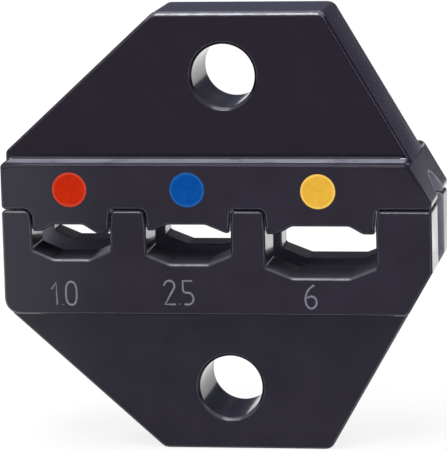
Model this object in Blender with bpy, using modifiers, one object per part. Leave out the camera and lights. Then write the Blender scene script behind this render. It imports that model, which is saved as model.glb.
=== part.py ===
import math

import bmesh
import bpy
from mathutils import Matrix, Vector

# Two-half crimp die for insulated terminals, in metres, +Z up, front face towards -Y.
# Sizes named height or reach are taken from the mid-plane of the closed pair.

# Outline shared by both halves
BODY_WIDTH = 0.0340
HALF_HEIGHT = 0.0174
LEFT_SIDE_HEIGHT = 0.00645
RIGHT_SIDE_HEIGHT = 0.00274
HOLE_FROM_LEFT = 0.01755
EDGE_LEFT_OF_HOLE = 0.00543
EDGE_RIGHT_OF_HOLE = 0.00793
FLANGE_CORNER_RADIUS = 0.0008
FLANGE_SIDE_RADIUS = 0.0006

# Depths
FLANGE_THICKNESS = 0.0070
FRONT_STEP = 0.00215
REAR_STEP = 0.00215

# Working block between the two ledges
UPPER_LEDGE_REACH = 0.0059
LOWER_LEDGE_REACH = 0.0062
UPPER_LEFT_CORNER = 0.0004
LOWER_LEFT_CORNER = 0.0012
RIGHT_LEDGE_CORNER = 0.0006
SIDE_CORNER_RADIUS = 0.0003
FLANGE_ROOT = 0.0013
FLANGE_INSET = 0.00002
EDGE_BREAK = 0.00013

# Fillets between the ledges and the flange, and the dressed corner of the upper ledge
LEDGE_FILLET = 0.0003
FILLET_ROOT = 0.0004
FILLET_SINK = 0.00002
FACET_LENGTH = 0.0034
FACET_SIZE = 0.00038

# Fixing screw hole, one in each flange
HOLE_DIAMETER = 0.0050
HOLE_FROM_EDGE = 0.00497
HOLE_CHAMFER = 0.00022

# Split line between the halves
SPLIT_HEIGHT = 0.0021
RUNNING_GAP = 0.0001
LEAD_IN_HEIGHT = 0.0013
LEAD_IN_DEPTH = 0.00013
END_POST_WIDTH = 0.00236
POST_RIGHT_CORNER = 0.00025
LIP_CORNER_RADIUS = 0.00015
FLOOR_CORNER_RADIUS = 0.00025
ARCH_CORNER_RADIUS = 0.0006

# Cross groove that parts the front crimp zone from the rear one
GROOVE_WIDTH = 0.0045
GROOVE_FROM_FRONT = 0.0041
GROOVE_REACH = 0.0042

# Painted colour marks in shallow round seats
MARK_DIAMETER = 0.00274
MARK_THICKNESS = 0.00024
MARK_EDGE = 0.00005
MARK_RECESS = 0.00008
MARK_SEAT_GAP = 0.00006
MARK_SEAT_CHAMFER = 0.00008
MARK_ABOVE_SPLIT = 0.00167

# Red nest: floor and arch are heights, a slope is how far an arch falls at its side
RED_WIDTH = 0.00626
RED_FLOOR = -0.00177
RED_FLOOR_FLAT = 0.00285
RED_FLOOR_RISE = 0.00072
RED_ARCH = 0.00098
RED_ARCH_LEFT = 0.0014
RED_ARCH_RIGHT = 0.00097
RED_LEFT_RUN = 0.0009
RED_LEFT_SLOPE = 0.00053
RED_RIGHT_RUN = 0.0011
RED_RIGHT_SLOPE = 0.0007
RED_POST_CORNER = 0.0006
RED_BLUE_POST = 0.00286

# Blue nest
BLUE_WIDTH = 0.00672
BLUE_FLOOR = -0.00212
BLUE_FLOOR_FLAT = 0.0030
BLUE_FLOOR_RISE = 0.00074
BLUE_ARCH = 0.0010
BLUE_ARCH_LEFT = 0.00165
BLUE_ARCH_RIGHT = 0.00135
BLUE_LEFT_RUN = 0.0011
BLUE_LEFT_SLOPE = 0.00047
BLUE_RIGHT_RUN = 0.0016
BLUE_RIGHT_SLOPE = 0.00066
BLUE_POST_CORNER = 0.0004
BLUE_YELLOW_POST = 0.00272

# Yellow nest
YELLOW_WIDTH = 0.00871
YELLOW_FLOOR = -0.00319
YELLOW_FLOOR_FLAT = 0.0045
YELLOW_FLOOR_RISE = 0.00082
YELLOW_ARCH = 0.00089
YELLOW_ARCH_HALF = 0.00225
YELLOW_RUN = 0.0011
YELLOW_SLOPE = 0.00062
YELLOW_POST_CORNER = 0.0004
YELLOW_MARK_LEFT = 0.00012
YELLOW_MARK_DOWN = 0.00011

# The nests from left to right
NESTS = (
    {
        "colour": "red",
        "width": RED_WIDTH,
        "floor": RED_FLOOR,
        "floor_flat": RED_FLOOR_FLAT,
        "floor_rise": RED_FLOOR_RISE,
        "arch": RED_ARCH,
        "arch_left": RED_ARCH_LEFT,
        "arch_right": RED_ARCH_RIGHT,
        "left_run": RED_LEFT_RUN,
        "left_slope": RED_LEFT_SLOPE,
        "right_run": RED_RIGHT_RUN,
        "right_slope": RED_RIGHT_SLOPE,
        "post_corner": RED_POST_CORNER,
        "post_after": RED_BLUE_POST,
        "mark_left": 0.0,
        "mark_down": 0.0,
    },
    {
        "colour": "blue",
        "width": BLUE_WIDTH,
        "floor": BLUE_FLOOR,
        "floor_flat": BLUE_FLOOR_FLAT,
        "floor_rise": BLUE_FLOOR_RISE,
        "arch": BLUE_ARCH,
        "arch_left": BLUE_ARCH_LEFT,
        "arch_right": BLUE_ARCH_RIGHT,
        "left_run": BLUE_LEFT_RUN,
        "left_slope": BLUE_LEFT_SLOPE,
        "right_run": BLUE_RIGHT_RUN,
        "right_slope": BLUE_RIGHT_SLOPE,
        "post_corner": BLUE_POST_CORNER,
        "post_after": BLUE_YELLOW_POST,
        "mark_left": 0.0,
        "mark_down": 0.0,
    },
    {
        "colour": "yellow",
        "width": YELLOW_WIDTH,
        "floor": YELLOW_FLOOR,
        "floor_flat": YELLOW_FLOOR_FLAT,
        "floor_rise": YELLOW_FLOOR_RISE,
        "arch": YELLOW_ARCH,
        "arch_left": YELLOW_ARCH_HALF,
        "arch_right": YELLOW_ARCH_HALF,
        "left_run": YELLOW_RUN,
        "left_slope": YELLOW_SLOPE,
        "right_run": YELLOW_RUN,
        "right_slope": YELLOW_SLOPE,
        "post_corner": YELLOW_POST_CORNER,
        "post_after": 0.0,
        "mark_left": YELLOW_MARK_LEFT,
        "mark_down": YELLOW_MARK_DOWN,
    },
)

LOWER = {
    "name": "lower_die",
    "side": -1,
    "ledge": LOWER_LEDGE_REACH,
    "left_corner": LOWER_LEFT_CORNER,
    "split_height": SPLIT_HEIGHT,
}
UPPER = {
    "name": "upper_die",
    "side": 1,
    "ledge": UPPER_LEDGE_REACH,
    "left_corner": UPPER_LEFT_CORNER,
    "split_height": SPLIT_HEIGHT + RUNNING_GAP,
}

# Fineness of round shapes
ARC_STEP = math.radians(18)
ROUND_SEGMENTS = 64
SMOOTH_ANGLE = math.radians(30)
CUTTER_REACH = 0.0010
MERGE_DISTANCE = 0.000001
WELD_DISTANCE = 0.000003

STEEL_COLOUR = (0.030, 0.030, 0.036, 1.0)
STEEL_ROUGHNESS = 0.38
STEEL_METALLIC = 0.85
PAINT_COLOURS = {
    "red": (0.72, 0.045, 0.015, 1.0),
    "blue": (0.008, 0.085, 0.42, 1.0),
    "yellow": (0.86, 0.46, 0.035, 1.0),
}
PAINT_ROUGHNESS = 0.42

# Places worked out from the driving dimensions
DEPTH = FRONT_STEP + FLANGE_THICKNESS + REAR_STEP
LEFT = -BODY_WIDTH / 2
RIGHT = BODY_WIDTH / 2
FRONT = -DEPTH / 2
HOLE_X = LEFT + HOLE_FROM_LEFT
HOLE_REACH = HALF_HEIGHT - HOLE_FROM_EDGE
EDGE_LEFT = HOLE_X - EDGE_LEFT_OF_HOLE
EDGE_RIGHT = HOLE_X + EDGE_RIGHT_OF_HOLE
FLANGE_FRONT = FRONT + FRONT_STEP
FLANGE_REAR = FLANGE_FRONT + FLANGE_THICKNESS
FLANGE_MIDDLE = (FLANGE_FRONT + FLANGE_REAR) / 2
MARK_SEAT_DEPTH = MARK_RECESS + MARK_THICKNESS + MARK_SEAT_GAP

TO_FRONT_PLANE = Matrix.Rotation(math.pi / 2, 4, "X")
TO_SIDE_PLANE = Matrix.Rotation(math.pi / 2, 4, "Z") @ TO_FRONT_PLANE


def clear_scene():
    for item in list(bpy.data.objects):
        bpy.data.objects.remove(item, do_unlink=True)


def new_collection(name):
    collection = bpy.data.collections.new(name)
    bpy.context.scene.collection.children.link(collection)
    return collection


def make_material(name, colour, roughness, metallic):
    material = bpy.data.materials.new(name)
    material.use_nodes = True
    shader = material.node_tree.nodes["Principled BSDF"]
    shader.inputs["Base Color"].default_value = colour
    shader.inputs["Roughness"].default_value = roughness
    shader.inputs["Metallic"].default_value = metallic
    material.diffuse_color = colour
    return material


def left_x(height):
    """X of the left side of the outline at a height."""
    above = max(0.0, abs(height) - LEFT_SIDE_HEIGHT)
    return LEFT + above * (EDGE_LEFT - LEFT) / (HALF_HEIGHT - LEFT_SIDE_HEIGHT)


def right_x(height):
    """X of the right side of the outline at a height."""
    above = max(0.0, abs(height) - RIGHT_SIDE_HEIGHT)
    return RIGHT - above * (RIGHT - EDGE_RIGHT) / (HALF_HEIGHT - RIGHT_SIDE_HEIGHT)


def rounded(corners):
    """Closed outline of (across, up, radius) corners, with each corner as an arc."""
    points = []
    for index, (across, up, radius) in enumerate(corners):
        here = Vector((across, up))
        before = (Vector(corners[index - 1][:2]) - here).normalized()
        after = (Vector(corners[(index + 1) % len(corners)][:2]) - here).normalized()
        turn = math.pi - before.angle(after)
        if radius == 0:
            points.append(here)
            continue
        reach = radius * math.tan(turn / 2)
        centre = here + (before + after).normalized() * radius / math.cos(turn / 2)
        spoke = here + before * reach - centre
        end_spoke = here + after * reach - centre
        sweep = math.copysign(turn, spoke.cross(end_spoke))
        steps = max(2, round(turn / ARC_STEP))
        for step in range(steps + 1):
            points.append(centre + Matrix.Rotation(sweep * step / steps, 2) @ spoke)
    return [point for index, point in enumerate(points)
            if (point - points[index - 1]).length > MERGE_DISTANCE]


def drawn_solid(name, outline, depth, edge_break, turn, place, collection):
    """Filled 2D curve with broken edges, turned into a mesh at its place."""
    curve = bpy.data.curves.new(name, "CURVE")
    curve.dimensions = "2D"
    curve.fill_mode = "BOTH"
    curve.extrude = depth / 2 - edge_break
    curve.bevel_depth = edge_break
    curve.bevel_resolution = 0
    curve.offset = -edge_break
    spline = curve.splines.new("POLY")
    spline.points.add(len(outline) - 1)
    for target, point in zip(spline.points, outline):
        target.co = (point.x, point.y, 0.0, 1.0)
    spline.use_cyclic_u = True
    drawn = bpy.data.objects.new(name, curve)
    collection.objects.link(drawn)
    bpy.context.view_layer.update()
    seen = drawn.evaluated_get(bpy.context.evaluated_depsgraph_get())
    mesh = bpy.data.meshes.new_from_object(seen)
    bpy.data.objects.remove(drawn, do_unlink=True)
    close_mesh(mesh, depth)
    mesh.transform(turn)
    solid = bpy.data.objects.new(name, mesh)
    solid.location = place
    collection.objects.link(solid)
    return solid


def close_mesh(mesh, depth):
    """Weld the caps to the sides and make each cap one polygon."""
    work = bmesh.new()
    work.from_mesh(mesh)
    bmesh.ops.remove_doubles(work, verts=work.verts, dist=MERGE_DISTANCE)
    caps = [face for face in work.faces
            if all(abs(abs(vertex.co.z) - depth / 2) < MERGE_DISTANCE for vertex in face.verts)]
    bmesh.ops.dissolve_faces(work, faces=caps)
    bmesh.ops.recalc_face_normals(work, faces=work.faces)
    work.to_mesh(mesh)
    work.free()


def turned_solid(name, profile, place, collection):
    """Profile of (radius, out) points spun about the front-to-back axis."""
    mesh = bpy.data.meshes.new(name)
    vertices = [(radius, 0.0, out) for radius, out in profile]
    mesh.from_pydata(vertices, [(i, i + 1) for i in range(len(vertices) - 1)], [])
    item = bpy.data.objects.new(name, mesh)
    item.rotation_euler = TO_FRONT_PLANE.to_euler()
    item.location = place
    collection.objects.link(item)
    screw = item.modifiers.new("Turn", "SCREW")
    screw.axis = "Z"
    screw.steps = ROUND_SEGMENTS
    screw.render_steps = ROUND_SEGMENTS
    screw.use_merge_vertices = True
    screw.merge_threshold = MERGE_DISTANCE
    return item


def as_tool(item):
    item.hide_render = True
    item.display_type = "WIRE"
    return item


def combine(item, tool, operation):
    boolean = item.modifiers.new(operation.title(), "BOOLEAN")
    boolean.operation = operation
    boolean.solver = "EXACT"
    boolean.object = tool


def nest_walls():
    """Each nest with the X of its left and right walls."""
    laid = []
    left = LEFT + END_POST_WIDTH
    for nest in NESTS:
        right = left + nest["width"]
        laid.append((nest, left, right))
        left = right + nest["post_after"]
    return laid


def lower_split():
    """Post tops and nest floors of the lower half, from left to right."""
    corners = []
    lead_start = SPLIT_HEIGHT - LEAD_IN_HEIGHT
    for nest, left, right in nest_walls():
        centre = (left + right) / 2
        half_flat = nest["floor_flat"] / 2
        wall_foot = nest["floor"] + nest["floor_rise"]
        corners += [
            (left - LEAD_IN_DEPTH, SPLIT_HEIGHT, nest["post_corner"]),
            (left, lead_start, 0.0),
            (left, wall_foot, FLOOR_CORNER_RADIUS),
            (centre - half_flat, nest["floor"], FLOOR_CORNER_RADIUS),
            (centre + half_flat, nest["floor"], FLOOR_CORNER_RADIUS),
            (right, wall_foot, FLOOR_CORNER_RADIUS),
            (right, lead_start, 0.0),
            (right + LEAD_IN_DEPTH, SPLIT_HEIGHT, POST_RIGHT_CORNER),
        ]
    return corners


def upper_split():
    """Recesses over the posts and punch undersides, from left to right."""
    corners = []
    gap = RUNNING_GAP
    top = SPLIT_HEIGHT + gap
    lead_start = SPLIT_HEIGHT - LEAD_IN_HEIGHT
    for nest, left, right in nest_walls():
        centre = (left + right) / 2
        arch_start = centre - nest["arch_left"]
        arch_end = centre + nest["arch_right"]
        left_lip = nest["arch"] - nest["left_slope"]
        right_lip = nest["arch"] - nest["right_slope"]
        corners += [
            (left - LEAD_IN_DEPTH + gap, top, nest["post_corner"] + gap),
            (left + gap, lead_start, 0.0),
            (left + gap, left_lip, LIP_CORNER_RADIUS),
            (arch_start - nest["left_run"], left_lip, ARCH_CORNER_RADIUS),
            (arch_start, nest["arch"], ARCH_CORNER_RADIUS),
            (arch_end, nest["arch"], ARCH_CORNER_RADIUS),
            (arch_end + nest["right_run"], right_lip, ARCH_CORNER_RADIUS),
            (right - gap, right_lip, LIP_CORNER_RADIUS),
            (right - gap, lead_start, 0.0),
            (right + LEAD_IN_DEPTH - gap, top, POST_RIGHT_CORNER + gap),
        ]
    return corners


def block_corners(half, split):
    """Outline of the working block, from its left ledge corner round by the split."""
    side = half["side"]
    ledge = half["ledge"] * side
    corners = [(left_x(ledge), ledge, half["left_corner"])]
    corners.append((LEFT, half["split_height"], SIDE_CORNER_RADIUS))
    corners += split
    corners.append((RIGHT, half["split_height"], SIDE_CORNER_RADIUS))
    corners.append((RIGHT, RIGHT_SIDE_HEIGHT * side, 0.0))
    corners.append((right_x(ledge), ledge, RIGHT_LEDGE_CORNER))
    return corners


def flange_corners(half):
    """Outline of the flange, rooted inside the block."""
    side = half["side"]
    root = (half["ledge"] - FLANGE_ROOT) * side
    edge = HALF_HEIGHT * side
    return [
        (left_x(root) + FLANGE_INSET, root, 0.0),
        (LEFT + FLANGE_INSET, LEFT_SIDE_HEIGHT * side, FLANGE_SIDE_RADIUS),
        (EDGE_LEFT, edge, FLANGE_CORNER_RADIUS),
        (EDGE_RIGHT, edge, FLANGE_CORNER_RADIUS),
        (right_x(root) - FLANGE_INSET, root, 0.0),
    ]


def hole_profile():
    half = FLANGE_THICKNESS / 2
    radius = HOLE_DIAMETER / 2
    mouth = radius + HOLE_CHAMFER + CUTTER_REACH
    return [
        (0.0, half + CUTTER_REACH),
        (mouth, half + CUTTER_REACH),
        (radius, half - HOLE_CHAMFER),
        (radius, HOLE_CHAMFER - half),
        (mouth, -half - CUTTER_REACH),
        (0.0, -half - CUTTER_REACH),
    ]


def seat_profile():
    radius = MARK_DIAMETER / 2 + MARK_SEAT_GAP
    return [
        (0.0, CUTTER_REACH),
        (radius + MARK_SEAT_CHAMFER + CUTTER_REACH, CUTTER_REACH),
        (radius, -MARK_SEAT_CHAMFER),
        (radius, -MARK_SEAT_DEPTH),
        (0.0, -MARK_SEAT_DEPTH),
    ]


def mark_profile():
    radius = MARK_DIAMETER / 2
    back = -MARK_RECESS - MARK_THICKNESS
    return [
        (0.0, -MARK_RECESS),
        (radius - MARK_EDGE, -MARK_RECESS),
        (radius, -MARK_RECESS - MARK_EDGE),
        (radius, back),
        (0.0, back),
    ]


def make_groove(collection):
    half_width = GROOVE_WIDTH / 2
    outline = rounded([
        (-half_width, -GROOVE_REACH, half_width),
        (half_width, -GROOVE_REACH, half_width),
        (half_width, GROOVE_REACH, half_width),
        (-half_width, GROOVE_REACH, half_width),
    ])
    middle = FRONT + GROOVE_FROM_FRONT + half_width
    length = BODY_WIDTH + 2 * CUTTER_REACH
    place = (0.0, middle, HALF_HEIGHT)
    return as_tool(drawn_solid("groove_cutter", outline, length, 0.0, TO_SIDE_PLANE, place, collection))


def add_fillet(die, half, wall, outward, collection):
    """Fill the inside corner between a ledge and one wall of the flange."""
    side = half["side"]
    tip = LEDGE_FILLET * side
    root = -FILLET_ROOT * side
    outline = rounded([
        (-FILLET_ROOT * outward, root, 0.0),
        (LEDGE_FILLET * outward, root, 0.0),
        (LEDGE_FILLET * outward, -FILLET_SINK * side, 0.0),
        (-FILLET_SINK * outward, -FILLET_SINK * side, LEDGE_FILLET + FILLET_SINK),
        (-FILLET_SINK * outward, tip, 0.0),
        (-FILLET_ROOT * outward, tip, 0.0),
    ])
    ledge = half["ledge"] * side
    start = left_x(ledge + tip) + half["left_corner"] + EDGE_BREAK
    end = right_x(ledge + tip) - RIGHT_LEDGE_CORNER
    place = ((start + end) / 2, wall, HALF_HEIGHT + ledge)
    fillet = drawn_solid(half["name"] + "_fillet", outline, end - start, 0.0,
                         TO_SIDE_PLANE, place, collection)
    combine(die, as_tool(fillet), "UNION")


def cut_facet(die, half, collection):
    """Take off the front left corner of the ledge with a box laid on the slope."""
    corner = Vector((LEFT, FRONT, HALF_HEIGHT + half["ledge"]))
    along = Vector((FACET_LENGTH, 0.0, 0.0))
    back = Vector((0.0, FACET_SIZE, 0.0))
    down = Vector((0.0, 0.0, -FACET_SIZE))
    normal = (back - along).cross(down - along).normalized()
    lengthwise = (along - (back + down) / 2).normalized()
    crosswise = normal.cross(lengthwise)
    mesh = bpy.data.meshes.new("facet_cutter")
    work = bmesh.new()
    size = Matrix.Diagonal((2 * FACET_LENGTH, 2 * FACET_SIZE, 2 * CUTTER_REACH, 1.0))
    bmesh.ops.create_cube(work, size=1.0, matrix=size)
    work.to_mesh(mesh)
    work.free()
    box = bpy.data.objects.new("facet_cutter", mesh)
    box.location = corner + (along + back + down) / 3 + normal * CUTTER_REACH
    box.rotation_euler = Matrix((lengthwise, crosswise, normal)).transposed().to_euler()
    collection.objects.link(box)
    combine(die, as_tool(box), "DIFFERENCE")


def make_die(half, split, groove, parts, tools):
    """One half: block and flange in one piece, with its fillets, hole and groove."""
    name = half["name"]
    centre = (0.0, 0.0, HALF_HEIGHT)
    block = rounded(block_corners(half, split))
    die = drawn_solid(name, block, DEPTH, EDGE_BREAK, TO_FRONT_PLANE, centre, parts)
    outline = rounded(flange_corners(half))
    place = (0.0, FLANGE_MIDDLE, HALF_HEIGHT)
    flange = drawn_solid(name + "_flange", outline, FLANGE_THICKNESS, EDGE_BREAK,
                         TO_FRONT_PLANE, place, tools)
    combine(die, as_tool(flange), "UNION")
    add_fillet(die, half, FLANGE_FRONT, -1, tools)
    add_fillet(die, half, FLANGE_REAR, 1, tools)
    place = (HOLE_X, FLANGE_MIDDLE, HALF_HEIGHT + HOLE_REACH * half["side"])
    hole = turned_solid(name + "_hole_cutter", hole_profile(), place, tools)
    combine(die, as_tool(hole), "DIFFERENCE")
    combine(die, groove, "DIFFERENCE")
    return die


def make_mark(nest, centre, die, material, parts, tools):
    """Painted disc and the seat that it fills in the upper half."""
    height = HALF_HEIGHT + SPLIT_HEIGHT + MARK_ABOVE_SPLIT - nest["mark_down"]
    place = (centre - nest["mark_left"], FRONT, height)
    seat = turned_solid(nest["colour"] + "_seat_cutter", seat_profile(), place, tools)
    combine(die, as_tool(seat), "DIFFERENCE")
    mark = turned_solid(nest["colour"] + "_mark", mark_profile(), place, parts)
    mark.data.materials.append(material)
    mark.parent = die
    mark.matrix_parent_inverse = die.matrix_world.inverted()
    return mark


def finish_die(die, material):
    """Weld the cut body and give it its steel and its smooth round faces."""
    weld = die.modifiers.new("Weld", "WELD")
    weld.merge_threshold = WELD_DISTANCE
    die.data.materials.append(material)
    die.data.shade_smooth()
    die.data.set_sharp_from_angle(angle=SMOOTH_ANGLE)


def main():
    clear_scene()
    parts = new_collection("crimp_die")
    tools = new_collection("crimp_die_cutters")
    steel = make_material("blackened_steel", STEEL_COLOUR, STEEL_ROUGHNESS, STEEL_METALLIC)
    groove = make_groove(tools)
    lower = make_die(LOWER, lower_split(), groove, parts, tools)
    upper = make_die(UPPER, upper_split(), groove, parts, tools)
    cut_facet(upper, UPPER, tools)
    bpy.context.view_layer.update()
    for nest, left, right in nest_walls():
        colour = nest["colour"]
        paint = make_material(colour + "_paint", PAINT_COLOURS[colour], PAINT_ROUGHNESS, 0.0)
        make_mark(nest, (left + right) / 2, upper, paint, parts, tools)
    finish_die(lower, steel)
    finish_die(upper, steel)


main()
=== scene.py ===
import math

import bmesh
import bpy
from mathutils import Matrix, Vector


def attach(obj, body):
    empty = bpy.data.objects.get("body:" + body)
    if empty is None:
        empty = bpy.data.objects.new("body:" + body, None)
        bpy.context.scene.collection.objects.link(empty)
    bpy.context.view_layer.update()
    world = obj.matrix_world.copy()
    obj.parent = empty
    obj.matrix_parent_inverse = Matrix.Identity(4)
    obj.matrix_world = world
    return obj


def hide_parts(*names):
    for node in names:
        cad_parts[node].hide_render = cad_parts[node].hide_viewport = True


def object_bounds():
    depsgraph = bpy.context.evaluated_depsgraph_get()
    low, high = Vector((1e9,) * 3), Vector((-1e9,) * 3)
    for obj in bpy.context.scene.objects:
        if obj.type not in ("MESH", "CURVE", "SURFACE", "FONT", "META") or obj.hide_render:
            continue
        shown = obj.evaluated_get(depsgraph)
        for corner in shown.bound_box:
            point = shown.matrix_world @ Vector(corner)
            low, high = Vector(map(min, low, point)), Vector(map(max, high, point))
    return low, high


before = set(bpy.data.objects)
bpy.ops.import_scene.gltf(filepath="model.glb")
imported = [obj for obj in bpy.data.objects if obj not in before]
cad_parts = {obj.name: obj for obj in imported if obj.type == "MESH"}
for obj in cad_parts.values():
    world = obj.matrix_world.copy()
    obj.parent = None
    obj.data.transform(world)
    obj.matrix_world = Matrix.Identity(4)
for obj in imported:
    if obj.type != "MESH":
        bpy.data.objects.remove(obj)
cadBox = [list(corner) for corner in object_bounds()]

scene = bpy.context.scene
scene.view_settings.view_transform = "Standard"
mm = 0.001


# camera, at the photograph's viewing angle
camera = {
    "azimuth": 9.245,       # degrees round from the front, towards the right
    "elevation": 10.576,    # degrees above the horizon
    "roll": -1.479,
    "distance": 313.5 * mm,
    "target": (1.78 * mm, 0.35 * mm, 16.27 * mm),
    "focalPixels": 3942.6,
    "imageWidth": 447,
    "imageHeight": 450,
    "centreX": 250.15,      # pixel that the camera looks straight at
    "centreY": 237.79,
    "sensor": 36.0,         # millimetres, as the camera wants it
    "clipStart": 10 * mm,
    "clipEnd": 20.0,
}


def makeCamera(values):
    azimuth = math.radians(values["azimuth"])
    elevation = math.radians(values["elevation"])
    forward = Vector((-math.sin(azimuth) * math.cos(elevation),
                      math.cos(azimuth) * math.cos(elevation),
                      -math.sin(elevation)))
    right = forward.cross(Vector((0, 0, 1))).normalized()
    up = right.cross(forward)
    turn = Matrix((right, up, -forward)).transposed()
    turn = turn @ Matrix.Rotation(math.radians(values["roll"]), 3, "Z")
    data = bpy.data.cameras.new("studioCamera")
    longSide = max(values["imageWidth"], values["imageHeight"])
    data.sensor_width = values["sensor"]
    data.lens = values["focalPixels"] / longSide * values["sensor"]
    data.shift_x = (values["imageWidth"] / 2 - values["centreX"]) / longSide
    data.shift_y = (values["centreY"] - values["imageHeight"] / 2) / longSide
    data.clip_start = values["clipStart"]
    data.clip_end = values["clipEnd"]
    item = bpy.data.objects.new("studioCamera", data)
    place = Vector(values["target"]) - forward * values["distance"]
    item.matrix_world = Matrix.Translation(place) @ turn.to_4x4()
    scene.collection.objects.link(item)
    scene.camera = item


makeCamera(camera)
print("camera placed")


# small helpers for shader nodes
def addNode(tree, kind, **settings):
    node = tree.nodes.new(kind)
    for name, value in settings.items():
        setattr(node, name, value)
    return node


def feed(tree, target, value):
    if isinstance(value, bpy.types.NodeSocket):
        tree.links.new(value, target)
    else:
        target.default_value = value


def mathNode(tree, operation, first, second=0.0, clamp=False):
    node = addNode(tree, "ShaderNodeMath", operation=operation, use_clamp=clamp)
    feed(tree, node.inputs[0], first)
    feed(tree, node.inputs[1], second)
    return node.outputs[0]


def mapRange(tree, value, low, high, toLow=0.0, toHigh=1.0, smooth=True):
    node = addNode(tree, "ShaderNodeMapRange")
    if smooth:
        node.interpolation_type = "SMOOTHSTEP"
    for name, item in (("Value", value), ("From Min", low), ("From Max", high),
                       ("To Min", toLow), ("To Max", toHigh)):
        feed(tree, node.inputs[name], item)
    return node.outputs["Result"]


def mixColour(tree, factor, first, second):
    node = addNode(tree, "ShaderNodeMix", data_type="RGBA")
    feed(tree, node.inputs["Factor"], factor)
    feed(tree, node.inputs[6], first)
    feed(tree, node.inputs[7], second)
    return node.outputs[2]


def newGroup(name, inputs, outputs):
    tree = bpy.data.node_groups.new(name, "ShaderNodeTree")
    for label, kind, value in inputs:
        socket = tree.interface.new_socket(name=label, in_out="INPUT", socket_type=kind)
        socket.default_value = value
    for label, kind in outputs:
        tree.interface.new_socket(name=label, in_out="OUTPUT", socket_type=kind)
    return tree, addNode(tree, "NodeGroupInput"), addNode(tree, "NodeGroupOutput")


def placeGroup(tree, group, **values):
    node = addNode(tree, "ShaderNodeGroup", node_tree=group)
    for label, value in values.items():
        feed(tree, node.inputs[label], value)
    return node


def noise(tree, where, scale, detail=2.0, roughness=0.5, distortion=0.0):
    node = addNode(tree, "ShaderNodeTexNoise")
    feed(tree, node.inputs["Vector"], where)
    feed(tree, node.inputs["Scale"], scale)
    node.inputs["Detail"].default_value = detail
    node.inputs["Roughness"].default_value = roughness
    node.inputs["Distortion"].default_value = distortion
    return node.outputs["Fac"]


# shared effects
def makeGrainGroup():
    tree, entry, leave = newGroup("fineGrain", [
        ("Scale", "NodeSocketFloat", 9000.0),
        ("Coarse", "NodeSocketFloat", 0.2),
    ], [("Height", "NodeSocketFloat")])
    where = addNode(tree, "ShaderNodeTexCoord").outputs["Object"]
    fine = noise(tree, where, entry.outputs["Scale"], detail=3.0, roughness=0.6)
    slow = mathNode(tree, "MULTIPLY", entry.outputs["Scale"], entry.outputs["Coarse"])
    coarse = noise(tree, where, slow)
    both = mathNode(tree, "ADD", fine, coarse)
    feed(tree, leave.inputs["Height"], mathNode(tree, "MULTIPLY", both, 0.5))
    return tree


def makeMottleGroup():
    tree, entry, leave = newGroup("mottle", [
        ("First", "NodeSocketColor", (0, 0, 0, 1)),
        ("Second", "NodeSocketColor", (1, 1, 1, 1)),
        ("Scale", "NodeSocketFloat", 300.0),
        ("Spread", "NodeSocketFloat", 0.2),
    ], [("Colour", "NodeSocketColor"), ("Mask", "NodeSocketFloat")])
    where = addNode(tree, "ShaderNodeTexCoord").outputs["Object"]
    cloud = noise(tree, where, entry.outputs["Scale"], detail=4.0, roughness=0.55,
                  distortion=0.3)
    low = mathNode(tree, "SUBTRACT", 0.5, entry.outputs["Spread"])
    high = mathNode(tree, "ADD", 0.5, entry.outputs["Spread"])
    mask = mapRange(tree, cloud, low, high)
    colour = mixColour(tree, mask, entry.outputs["First"], entry.outputs["Second"])
    feed(tree, leave.inputs["Colour"], colour)
    feed(tree, leave.inputs["Mask"], mask)
    return tree


# bare steel on worn edges, and bare steel as a painted highlight on edges facing up and out
edgeWearAndHighlight = {
    "samples": 6,
    "bend": (0.02, 0.12),    # how far the normal turns where wear starts, and where it is full
    "lean": (0.15, 0.42),    # the same for edges that face up and out, which get bare steel as a painted highlight
    "patchScale": 1500.0,
    "patchRange": (0.3, 0.6),
    "patchLeast": 0.7,       # share of the wear left in the thinnest patches
}


def makeEdgeWearAndHighlightGroup(values):
    tree, entry, leave = newGroup("edgeWearAndHighlight", [
        ("Radius", "NodeSocketFloat", 0.1 * mm),
        ("Round Radius", "NodeSocketFloat", 0.2 * mm),
        ("Top Share", "NodeSocketFloat", 0.3),
        ("Start", "NodeSocketFloat", values["bend"][0]),
        ("Full", "NodeSocketFloat", values["bend"][1]),
        ("Patch Scale", "NodeSocketFloat", values["patchScale"]),
    ], [("Mask", "NodeSocketFloat"), ("Normal", "NodeSocketVector")])
    geometry = addNode(tree, "ShaderNodeNewGeometry")
    bevels = []
    for radius in ("Radius", "Round Radius"):
        bevels.append(addNode(tree, "ShaderNodeBevel", samples=values["samples"]))
        feed(tree, bevels[-1].inputs["Radius"], entry.outputs[radius])
    along = addNode(tree, "ShaderNodeVectorMath", operation="DOT_PRODUCT")
    feed(tree, along.inputs[0], bevels[0].outputs["Normal"])
    feed(tree, along.inputs[1], geometry.outputs["Normal"])
    bent = mathNode(tree, "SUBTRACT", 1.0, along.outputs["Value"])
    edge = mapRange(tree, bent, entry.outputs["Start"], entry.outputs["Full"])
    turned = addNode(tree, "ShaderNodeSeparateXYZ")
    feed(tree, turned.inputs[0], bevels[1].outputs["Normal"])
    lean = mathNode(tree, "MULTIPLY", mathNode(tree, "ABSOLUTE", turned.outputs["Y"]),
                    turned.outputs["Z"])
    # painted highlight: edges that face up and out get a share of bare steel
    top = mapRange(tree, lean, *values["lean"], 0.0, entry.outputs["Top Share"])
    edge = mathNode(tree, "MAXIMUM", edge, top)
    where = addNode(tree, "ShaderNodeTexCoord").outputs["Object"]
    cloud = noise(tree, where, entry.outputs["Patch Scale"], detail=3.0, roughness=0.6)
    patch = mapRange(tree, cloud, *values["patchRange"], values["patchLeast"], 1.0)
    feed(tree, leave.inputs["Mask"], mathNode(tree, "MULTIPLY", edge, patch, clamp=True))
    tree.links.new(bevels[1].outputs["Normal"], leave.inputs["Normal"])
    return tree


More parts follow.
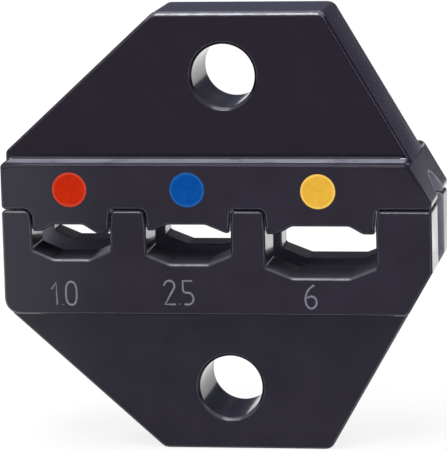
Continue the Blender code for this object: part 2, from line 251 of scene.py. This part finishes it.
grainGroup = makeGrainGroup()
mottleGroup = makeMottleGroup()
edgeWearAndHighlightGroup = makeEdgeWearAndHighlightGroup(edgeWearAndHighlight)
print("shared shader effects made")


def newMaterial(name):
    material = bpy.data.materials.new(name)
    material.use_nodes = True
    tree = material.node_tree
    return material, tree, tree.nodes["Principled BSDF"]


# blackened tool steel of both halves
steel = {
    "dark": (0.0090, 0.0060, 0.0155, 1),
    "light": (0.0140, 0.0105, 0.0225, 1),
    "paintedLeftLight": (0.0270, 0.0250, 0.0350, 1),  # painted light: lighter towards the left end, where more light falls
    "paintedLeftLightSpan": (-17.5 * mm, -7.0 * mm),
    "deep": (0.0065, 0.0020, 0.0100, 1),   # on the upper flange
    "deepInside": (3.6 * mm, 4.2 * mm),
    "deepAbove": (22.9 * mm, 23.9 * mm),
    # bare steel: on worn edges, and as a painted highlight on edges facing up
    "bareAndHighlight": (0.40, 0.40, 0.44, 1),
    "metal": 0.0,                          # the painted left-end light and the deep tint go only on surfaces with none
    "roughness": 0.16,
    "roughnessSpread": 0.04,
    "ior": 1.25,
    "coatIor": 1.15,
    "coatRoughness": 0.10,
    "mottleScale": 260.0,
    "mottleSpread": 0.2,
    "grainScale": 9000.0,
    "grainStrength": 0.5,
    "grainHeight": 0.0006 * mm,
    "wearRadius": 0.06 * mm,
    "roundRadius": 0.28 * mm,
    "nestShare": 0.27,                     # bare steel as a painted highlight on edges facing up, in the nests
    "topShare": 0.13,                      # the same painted highlight, over the nests
    "crownShare": 0.60,                    # the same painted highlight, along the top of the upper flange
    "nestBelow": (16.6 * mm, 18.4 * mm),   # heights where one share fades into the next
    "crownAbove": (34.0 * mm, 34.4 * mm),
}
# lighter steel on the level faces of the ledges beside the flanges
shoulder = dict(steel)
shoulder.update({
    "dark": (0.36, 0.37, 0.44, 1),
    "light": (0.50, 0.51, 0.60, 1),
    "metal": 0.35,
    "roughness": 0.30,
    "wearRadius": 0.02 * mm,
    "roundRadius": 0.04 * mm,
})
# wire-cut faces between the halves that look up or down
wireCut = dict(steel)
wireCut.update({
    "dark": (0.048, 0.045, 0.056, 1),
    "light": (0.070, 0.067, 0.080, 1),
    "roughness": 0.38,
    "ior": 1.05,
    "coatIor": 1.02,
})
# cross groove through both halves: metallic raw steel, whose light colour is partly painted
# light that lifts the shade inside the groove
grooveRawAndLit = dict(wireCut)
grooveRawAndLit.update({
    "dark": (0.28, 0.27, 0.32, 1),
    "light": (0.36, 0.35, 0.40, 1),
    "metal": 0.7,
    "roughness": 0.45,
})
# slanted sides, bores, ends behind the groove, and edges and fillets of the upper ledges
sideCut = dict(steel)
sideCut.update({
    "ior": 1.15,
    "coatIor": 1.07,
    "grainHeight": 0.0002 * mm,
    "wearRadius": 0.02 * mm,
    "nestShare": 0.04,
    "topShare": 0.04,
    "crownShare": 0.04,
})


def makeSteel(name, values):
    material, tree, shader = newMaterial(name)
    mottle = placeGroup(tree, mottleGroup, First=values["dark"], Second=values["light"],
                        Scale=values["mottleScale"], Spread=values["mottleSpread"])
    grain = placeGroup(tree, grainGroup, Scale=values["grainScale"])
    wearAndHighlight = placeGroup(tree, edgeWearAndHighlightGroup, Radius=values["wearRadius"])
    wearAndHighlight.inputs["Round Radius"].default_value = values["roundRadius"]
    mask = wearAndHighlight.outputs["Mask"]
    place = addNode(tree, "ShaderNodeSeparateXYZ")
    feed(tree, place.inputs[0], addNode(tree, "ShaderNodeTexCoord").outputs["Object"])
    # share of the painted highlight on edges facing up, changing with height
    share = mapRange(tree, place.outputs["Z"], *values["nestBelow"],
                     values["nestShare"], values["topShare"])
    share = mapRange(tree, place.outputs["Z"], *values["crownAbove"],
                     share, values["crownShare"])
    feed(tree, wearAndHighlight.inputs["Top Share"], share)
    plain = mottle.outputs["Colour"]
    if values["metal"] == 0.0:
        # painted light: the steel turns lighter towards the left end
        end = mapRange(tree, place.outputs["X"], *values["paintedLeftLightSpan"], 1.0, 0.0)
        plain = mixColour(tree, end, plain, values["paintedLeftLight"])
        out = mathNode(tree, "ABSOLUTE", place.outputs["Y"])
        inside = mapRange(tree, out, *values["deepInside"], 1.0, 0.0)
        above = mapRange(tree, place.outputs["Z"], *values["deepAbove"])
        flange = mathNode(tree, "MULTIPLY", inside, above)
        plain = mixColour(tree, flange, plain, values["deep"])
    # bare steel on worn edges, and as a painted highlight on edges facing up
    colour = mixColour(tree, mask, plain, values["bareAndHighlight"])
    feed(tree, shader.inputs["Base Color"], colour)
    feed(tree, shader.inputs["Metallic"], mathNode(tree, "MAXIMUM", mask, values["metal"]))
    low = values["roughness"] - values["roughnessSpread"]
    high = values["roughness"] + values["roughnessSpread"]
    rough = mapRange(tree, mottle.outputs["Mask"], 0.0, 1.0, low, high, smooth=False)
    feed(tree, shader.inputs["Roughness"], rough)
    shader.inputs["IOR"].default_value = values["ior"]
    shader.inputs["Coat Weight"].default_value = 1.0
    shader.inputs["Coat IOR"].default_value = values["coatIor"]
    shader.inputs["Coat Roughness"].default_value = values["coatRoughness"]
    bump = addNode(tree, "ShaderNodeBump")
    bump.inputs["Strength"].default_value = values["grainStrength"]
    bump.inputs["Distance"].default_value = values["grainHeight"]
    feed(tree, bump.inputs["Height"], grain.outputs["Height"])
    feed(tree, bump.inputs["Normal"], wearAndHighlight.outputs["Normal"])
    feed(tree, shader.inputs["Normal"], bump.outputs["Normal"])
    return material


steelMaterials = {
    "plain": makeSteel("blackenedSteel", steel),
    "shoulder": makeSteel("lighterShoulder", shoulder),
    "wireCut": makeSteel("wireCutSteel", wireCut),
    "groove": makeSteel("grooveRawAndLitSteel", grooveRawAndLit),
    "side": makeSteel("sideCutSteel", sideCut),
}


# dies: the CAD mesh with welded faces and broken edges on its front and rear
die = {
    "weld": 0.002 * mm,
    "flatAngle": math.radians(0.5),
    "smoothAngle": math.radians(32),
    "normalWeight": 100,           # larger faces keep their own normals
    "flush": 0.999,                # least lean to front or rear of a face flush with the box
    "facing": 0.95,                # least lean of one that still counts as facing that way
    "square": 0.05,                # most lean of one that meets a flush face squarely
    "upright": 0.1,                # most lean of one that was cut from front to rear
    "brokenEdge": 0.10 * mm,
    "cadBreak": 0.13 * mm,         # break that the solids' outer edges have already
    "breakDown": 0.01 * mm,        # these three widen it along the upper flange's top
    "breakBack": 0.20 * mm,
    "breakUp": 0.09 * mm,
    "breakSnap": 0.008 * mm,       # how near to it a vertex has to lie
    "topFade": 0.80 * mm,          # how far down the wider break fades out
    "frontStep": 2.15 * mm,        # from the block's front face back to the flange's
    "cornerAcross": 15.03 * mm,    # upper block's front corner, rubbed rounder than the rest
    "cornerUp": 5.68 * mm,         # over the mid-plane of the closed pair
    "cornerReach": 0.45 * mm,
    "cornerEase": (0.07 * mm, 0, -0.14 * mm),
    "shoulderLevel": 0.99,
    "shoulderInside": 3.4 * mm,    # just under half of the flange's thickness
    "shoulderReach": 5.0 * mm,     # from the mid-plane, like the next two
    "rootReach": 7.0 * mm,
    "boreReach": 12.43 * mm,
    "boreAcross": 0.55 * mm,
    "boreRadius": 2.8 * mm,
    "endReach": 15.0 * mm,         # sideways from the middle
    "grooveSpan": (-1.56 * mm, 2.96 * mm),
    "nestTilt": 0.3,               # least slope of a floor that is left as cut
    "slant": (0.3, 0.95),          # least and most that a slanted side looks outwards
    "seatReach": 1.60 * mm,        # round the middle of each colour mark
    "seatDepth": 0.50 * mm,
    "seatRadius": 1.06 * mm,       # to which the seats are drawn in, under the paint
}
midPlane = (cadBox[0][2] + cadBox[1][2]) / 2


def markMiddle(colour):
    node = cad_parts[colour + "_mark"]
    corners = [node.matrix_world @ Vector(corner) for corner in node.bound_box]
    return sum(corners, Vector()) / len(corners)


markMiddles = {colour: markMiddle(colour) for colour in ("red", "blue", "yellow")}


# from the middle of a colour mark to a point of its seat, or None elsewhere
def seatOffset(point, values):
    for middle in markMiddles.values():
        out = Vector((point.x - middle.x, 0, point.z - middle.z))
        near = values["weld"] < out.length < values["seatReach"]
        if near and point.y - cadBox[0][1] < values["seatDepth"]:
            return out
    return None


def closeSeats(work, values):
    for vert in work.verts:
        out = seatOffset(vert.co, values)
        if out:
            vert.co += out * (values["seatRadius"] / out.length - 1)


# faces flush with the front or rear are inset, their outline pushed back, and filled anew
def breakEdges(work, side, values):
    place = cadBox[0][1] if side < 0 else cadBox[1][1]
    flat = {face for face in work.faces if face.normal.y * side > values["flush"]
            and abs(face.calc_center_median().y - place) < values["weld"]}
    ring = bmesh.ops.inset_region(work, faces=list(flat), thickness=values["brokenEdge"],
                                  use_even_offset=True, use_boundary=True)["faces"]
    inner = {vert for face in flat for vert in face.verts}
    outer = {vert for face in ring for vert in face.verts} - inner
    for vert in outer:
        leans = [face.normal.y * side for face in vert.link_faces]
        square = all(abs(lean) < values["square"] or lean > values["facing"] for lean in leans)
        if square and not seatOffset(vert.co, values):
            vert.co.y -= side * values["brokenEdge"]
    rim = [edge for edge in work.edges
           if sum(face in flat for face in edge.link_faces) == 1]
    bmesh.ops.delete(work, geom=list(flat), context="FACES")
    bmesh.ops.triangle_fill(work, edges=rim, use_beauty=True, normal=(0, side, 0))


def widenBreak(work, height, front, values):
    for vert in work.verts:
        below = height - vert.co.z
        share = 1 - max(0.0, below - values["cadBreak"]) / values["topFade"]
        if below < -values["weld"] or share <= 0:
            continue
        if abs(vert.co.y - front) < values["weld"]:
            vert.co.z -= values["breakDown"] * share
        elif abs(vert.co.y - front - values["cadBreak"]) < values["breakSnap"]:
            vert.co.y += values["breakBack"] * share
            vert.co.z += values["breakUp"] * share


def easeCorner(work, values):
    for vert in work.verts:
        across = vert.co.x - values["cornerAcross"]
        up = vert.co.z - midPlane - values["cornerUp"]
        flush = abs(vert.co.y - cadBox[0][1]) < values["weld"]
        if flush and math.hypot(across, up) < values["cornerReach"]:
            vert.co += Vector(values["cornerEase"])


# which of the steel materials a face gets, from where it lies and where it looks
def surfaceKind(face, values):
    middle = face.calc_center_median()
    height = abs(middle.z - midPlane)
    grooveFront, grooveRear = values["grooveSpan"]
    slantLeast, slantMost = values["slant"]
    upright = abs(face.normal.y) < values["upright"]
    outward = face.normal.x * math.copysign(1.0, middle.x)
    slanted = upright and slantLeast < outward < slantMost
    bore = math.hypot(middle.x - values["boreAcross"], height - values["boreReach"])
    if upright and bore < values["boreRadius"]:
        return "side"
    if height > values["shoulderReach"]:
        if abs(face.normal.z) > values["shoulderLevel"]:
            return "shoulder" if abs(middle.y) > values["shoulderInside"] else "plain"
        low = 0 < middle.z - midPlane < values["rootReach"]
        root = low and abs(face.normal.y) < values["facing"]
        return "side" if slanted or root else "plain"
    if upright and abs(middle.x) > values["endReach"]:
        return "side" if slanted or middle.y > grooveRear else "plain"
    if grooveFront < middle.y < grooveRear:
        return "groove" if abs(face.normal.x) < values["nestTilt"] else "plain"
    return "wireCut" if upright and abs(face.normal.z) > values["nestTilt"] else "plain"


def refinedCopy(node, name, materials, values):
    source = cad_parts[node].data
    work = bmesh.new()
    work.from_mesh(source)
    bmesh.ops.remove_doubles(work, verts=work.verts, dist=values["weld"])
    bmesh.ops.dissolve_limit(work, angle_limit=values["flatAngle"],
                             verts=work.verts, edges=work.edges)
    bmesh.ops.recalc_face_normals(work, faces=work.faces)
    if node == "upper_die":
        closeSeats(work, values)
        widenBreak(work, cadBox[1][2], cadBox[0][1] + values["frontStep"], values)
        easeCorner(work, values)
    breakEdges(work, -1, values)
    breakEdges(work, 1, values)
    bmesh.ops.recalc_face_normals(work, faces=work.faces)
    kinds = list(materials)
    for face in work.faces:
        face.material_index = kinds.index(surfaceKind(face, values))
    mesh = bpy.data.meshes.new(name)
    work.to_mesh(mesh)
    work.free()
    for kind in kinds:
        mesh.materials.append(materials[kind])
    mesh.shade_smooth()
    mesh.set_sharp_from_angle(angle=values["smoothAngle"])
    item = bpy.data.objects.new(name, mesh)
    scene.collection.objects.link(item)
    weighted = item.modifiers.new("flatFaces", "WEIGHTED_NORMAL")
    weighted.keep_sharp = True
    weighted.weight = values["normalWeight"]
    return item


for node, body in (("lower_die", "lower_half"), ("upper_die", "upper_half")):
    piece = refinedCopy(node, node + "_steel", steelMaterials, die)
    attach(piece, body)
    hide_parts(node)
print("dies dressed")


# painted colour marks: paint pooled in each seat, with a rolled rim over its edge
paint = {
    "colours": {
        "red": (0.45, 0.017, 0.001, 1),
        "blue": (0.000, 0.060, 0.27, 1),
        "yellow": (0.68, 0.375, 0.037, 1),
    },
    "rimColours": {
        "red": (0.55, 0.050, 0.022, 1),
        "blue": (0.014, 0.10, 0.34, 1),
        "yellow": (0.84, 0.52, 0.10, 1),
    },
    "lighterBy": (1.12, 0.005),   # factor and addition for the lighter patches
    "mottleScale": 1400.0,
    "mottleSpread": 0.25,
    "roughness": 0.38,
    "ior": 1.06,
    "poolRadius": 1.14 * mm,
    "poolHeight": 0.004 * mm,
    "rimRadius": 1.27 * mm,
    "rimHeight": 0.018 * mm,
    "rimSlopes": (0.7, 0.8),      # share of that height half-way up it and half-way down
    "outerRadius": 1.37 * mm,
    "backRadius": 1.05 * mm,
    "backDepth": 0.05 * mm,
    "sides": 72,
    "weld": 0.0018 * mm,
}


def makePaint(name, colour, rimColour, values):
    material, tree, shader = newMaterial(name)
    where = addNode(tree, "ShaderNodeTexCoord").outputs["Object"]
    radius = addNode(tree, "ShaderNodeVectorMath", operation="LENGTH")
    feed(tree, radius.inputs[0], where)
    factor, more = values["lighterBy"]
    lighter = tuple(min(1.0, part * factor + more) for part in colour[:3]) + (1,)
    mottle = placeGroup(tree, mottleGroup, First=colour, Second=lighter,
                        Scale=values["mottleScale"], Spread=values["mottleSpread"])
    rim = mapRange(tree, radius.outputs["Value"], values["poolRadius"], values["rimRadius"])
    feed(tree, shader.inputs["Base Color"],
         mixColour(tree, rim, mottle.outputs["Colour"], rimColour))
    shader.inputs["Roughness"].default_value = values["roughness"]
    shader.inputs["IOR"].default_value = values["ior"]
    return material


def makeMark(colour, values):
    middle = markMiddles[colour]
    risen, fallen = [values["rimHeight"] * share for share in values["rimSlopes"]]
    profile = [
        (0.0, values["poolHeight"]),
        (values["poolRadius"], values["poolHeight"]),
        ((values["poolRadius"] + values["rimRadius"]) / 2, risen),
        (values["rimRadius"], values["rimHeight"]),
        ((values["rimRadius"] + values["outerRadius"]) / 2, fallen),
        (values["outerRadius"], 0.0),
        (values["backRadius"], 0.0),
        (values["backRadius"], -values["backDepth"]),
        (0.0, -values["backDepth"]),
    ]
    work = bmesh.new()
    points = [work.verts.new((radius, 0, out)) for radius, out in profile]
    edges = [work.edges.new(pair) for pair in zip(points, points[1:])]
    bmesh.ops.spin(work, geom=points + edges, cent=(0, 0, 0), axis=(0, 0, 1),
                   angle=math.tau, steps=values["sides"])
    bmesh.ops.remove_doubles(work, verts=work.verts, dist=values["weld"])
    bmesh.ops.recalc_face_normals(work, faces=work.faces)
    bmesh.ops.transform(work, matrix=Matrix.Rotation(math.pi / 2, 4, "X"), verts=work.verts)
    mesh = bpy.data.meshes.new(colour + "_paint")
    work.to_mesh(mesh)
    work.free()
    mesh.shade_smooth()
    mesh.set_sharp_from_angle(angle=die["smoothAngle"])
    mesh.materials.append(makePaint(colour + "Paint", values["colours"][colour],
                                    values["rimColours"][colour], values))
    item = bpy.data.objects.new(colour + "_paint", mesh)
    item.location = (middle.x, cadBox[0][1], middle.z)
    scene.collection.objects.link(item)
    bpy.context.view_layer.update()
    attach(item, "upper_half")
    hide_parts(colour + "_mark")


for colour in paint["colours"]:
    makeMark(colour, paint)
print("marks painted")


# cable sizes marked under the nests, as thin single strokes
numbers = {
    "strokeWidth": 0.155 * mm,
    "strokeHeight": 0.010 * mm,   # how far a stroke stands proud of the steel
    "strokeRounding": 2,
    "curveSteps": 6,
    "weld": 0.000155 * mm,
    "colour": (0.20, 0.20, 0.24, 1),
    "darkerBy": 0.75,
    "mottleScale": 4000.0,
    "mottleSpread": 0.2,
    "roughness": 0.55,
    "glyphs": {                   # strokes of (across, up) points in mm, curved or straight
        "0": [("curved", True, [(0.0, 0.93), (0.43, 1.86), (0.86, 0.93), (0.43, 0.0)])],
        "1": [("straight", False, [(0.0, 1.24), (0.37, 1.78), (0.43, 0.0)])],
        "2": [("curved", False, [(0.0, 1.49), (0.18, 1.78), (0.48, 1.88), (0.78, 1.72),
                                 (0.85, 1.42), (0.66, 1.02)]),
              ("straight", False, [(0.67, 1.03), (0.08, 0.0), (0.94, 0.0)])],
        "5": [("straight", False, [(0.78, 1.87), (0.02, 1.87), (0.02, 1.10)]),
              ("curved", False, [(0.02, 1.10), (0.18, 0.95), (0.58, 0.90), (0.80, 0.66),
                                 (0.82, 0.30), (0.60, 0.03), (0.12, 0.0)])],
        "6": [("curved", False, [(0.70, 1.87), (0.27, 1.52), (0.04, 1.05), (0.0, 0.60),
                                 (0.16, 0.16), (0.43, 0.0), (0.76, 0.18), (0.87, 0.52),
                                 (0.72, 0.86), (0.42, 0.96), (0.12, 0.84)])],
        ".": [("straight", False, [(0.0, 0.0), (0.0, 0.05)])],
    },
    "rows": {                     # each glyph with its left edge, over a base line, in mm
        "size_1": {"base": -5.43, "glyphs": [("1", -13.20), (".", -12.30), ("0", -12.05)]},
        "size_2": {"base": -5.33, "glyphs": [("2", -4.21), (".", -2.98), ("5", -2.71)]},
        "size_6": {"base": -5.60, "glyphs": [("6", 7.01)]},
    },
}


def drawGlyph(name, left, base, values):
    data = bpy.data.curves.new("stroke", "CURVE")
    data.dimensions = "3D"
    data.bevel_depth = values["strokeWidth"] / 2
    data.bevel_resolution = values["strokeRounding"]
    data.resolution_u = values["curveSteps"]
    data.use_fill_caps = True
    for bend, closed, points in values["glyphs"][name]:
        spline = data.splines.new("BEZIER")
        spline.bezier_points.add(len(points) - 1)
        for target, (across, up) in zip(spline.bezier_points, points):
            target.co = ((left + across) * mm, 0.0, midPlane + (base + up) * mm)
            kind = "AUTO" if bend == "curved" else "VECTOR"
            target.handle_left_type = kind
            target.handle_right_type = kind
        spline.use_cyclic_u = closed
    item = bpy.data.objects.new("stroke", data)
    scene.collection.objects.link(item)
    bpy.context.view_layer.update()
    seen = item.evaluated_get(bpy.context.evaluated_depsgraph_get())
    mesh = bpy.data.meshes.new_from_object(seen)
    bpy.data.objects.remove(item, do_unlink=True)
    return mesh


def makeNumber(name, row, material, values):
    work = bmesh.new()
    for glyph, left in row["glyphs"]:
        mesh = drawGlyph(glyph, left, row["base"], values)
        work.from_mesh(mesh)
        bpy.data.meshes.remove(mesh)
    bmesh.ops.remove_doubles(work, verts=work.verts, dist=values["weld"])
    flatten = 2 * values["strokeHeight"] / values["strokeWidth"]
    bmesh.ops.scale(work, vec=(1.0, flatten, 1.0), verts=work.verts)
    bmesh.ops.translate(work, vec=(0.0, cadBox[0][1], 0.0), verts=work.verts)
    bmesh.ops.recalc_face_normals(work, faces=work.faces)
    mesh = bpy.data.meshes.new(name)
    work.to_mesh(mesh)
    work.free()
    mesh.shade_smooth()
    mesh.materials.append(material)
    item = bpy.data.objects.new(name, mesh)
    scene.collection.objects.link(item)
    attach(item, "lower_half")


def makeNumberMaterial(values):
    material, tree, shader = newMaterial("markedNumber")
    darker = tuple(part * values["darkerBy"] for part in values["colour"][:3]) + (1,)
    mottle = placeGroup(tree, mottleGroup, First=darker, Second=values["colour"],
                        Scale=values["mottleScale"], Spread=values["mottleSpread"])
    feed(tree, shader.inputs["Base Color"], mottle.outputs["Colour"])
    shader.inputs["Roughness"].default_value = values["roughness"]
    return material


numberMaterial = makeNumberMaterial(numbers)
for name, row in numbers["rows"].items():
    makeNumber(name, row, numberMaterial, numbers)
print("sizes marked")


# studio: pale floor, plain grey surroundings, soft lamps
studio = {
    "floorRadius": 3.0,
    "floorSides": 96,
    "floorDrop": 0.01 * mm,  # keeps the floor clear of the lower flange's own face
    "floorColour": (1.0, 1.0, 1.0, 1),
    "floorRoughness": 0.9,
    "shadowShare": 0.15,     # how much of the floor's own shading the camera sees
    "worldColour": (0.10, 0.105, 0.145, 1),
}


def makeStudio(values):
    mesh = bpy.data.meshes.new("studioFloor")
    work = bmesh.new()
    bmesh.ops.create_circle(work, cap_ends=True, segments=values["floorSides"],
                            radius=values["floorRadius"])
    work.to_mesh(mesh)
    work.free()
    floor = bpy.data.objects.new("studioFloor", mesh)
    floor.location.z = -values["floorDrop"]
    scene.collection.objects.link(floor)
    material, tree, shader = newMaterial("paleFloor")
    shader.inputs["Base Color"].default_value = values["floorColour"]
    shader.inputs["Roughness"].default_value = values["floorRoughness"]
    # seen directly or in a reflection, the floor is nearly plain white
    seen = addNode(tree, "ShaderNodeLightPath")
    direct = mathNode(tree, "ADD", seen.outputs["Is Camera Ray"], seen.outputs["Is Glossy Ray"])
    direct = mathNode(tree, "ADD", direct, seen.outputs["Is Transmission Ray"], clamp=True)
    white = addNode(tree, "ShaderNodeEmission")
    share = mathNode(tree, "MULTIPLY", direct, 1 - values["shadowShare"])
    mix = addNode(tree, "ShaderNodeMixShader")
    feed(tree, mix.inputs[0], share)
    tree.links.new(shader.outputs[0], mix.inputs[1])
    tree.links.new(white.outputs[0], mix.inputs[2])
    tree.links.new(mix.outputs[0], tree.nodes["Material Output"].inputs["Surface"])
    mesh.materials.append(material)

    world = bpy.data.worlds.new("studioWorld")
    scene.world = world
    world.use_nodes = True
    world.node_tree.nodes["Background"].inputs["Color"].default_value = values["worldColour"]


makeStudio(studio)


lamps = {
    "overhead": {"place": (-0.05, -0.12, 0.55), "size": 0.32, "watts": 2.6},
    "front": {"place": (-0.08, -0.34, 0.38), "size": 0.26, "watts": 1.0},
    "right": {"place": (0.50, -0.30, 0.25), "size": 0.40, "watts": 0.32},
    "rear": {"place": (0.12, 0.40, 0.34), "size": 0.30, "watts": 1.2},
}


def makeLamps(values):
    middle = Vector(camera["target"])
    for name, lamp in values.items():
        data = bpy.data.lights.new(name + "Lamp", "AREA")
        data.energy = lamp["watts"]
        data.size = lamp["size"]
        item = bpy.data.objects.new(name + "Lamp", data)
        item.location = lamp["place"]
        item.rotation_euler = (middle - item.location).to_track_quat("-Z", "Y").to_euler()
        scene.collection.objects.link(item)


makeLamps(lamps)
print("studio lit")
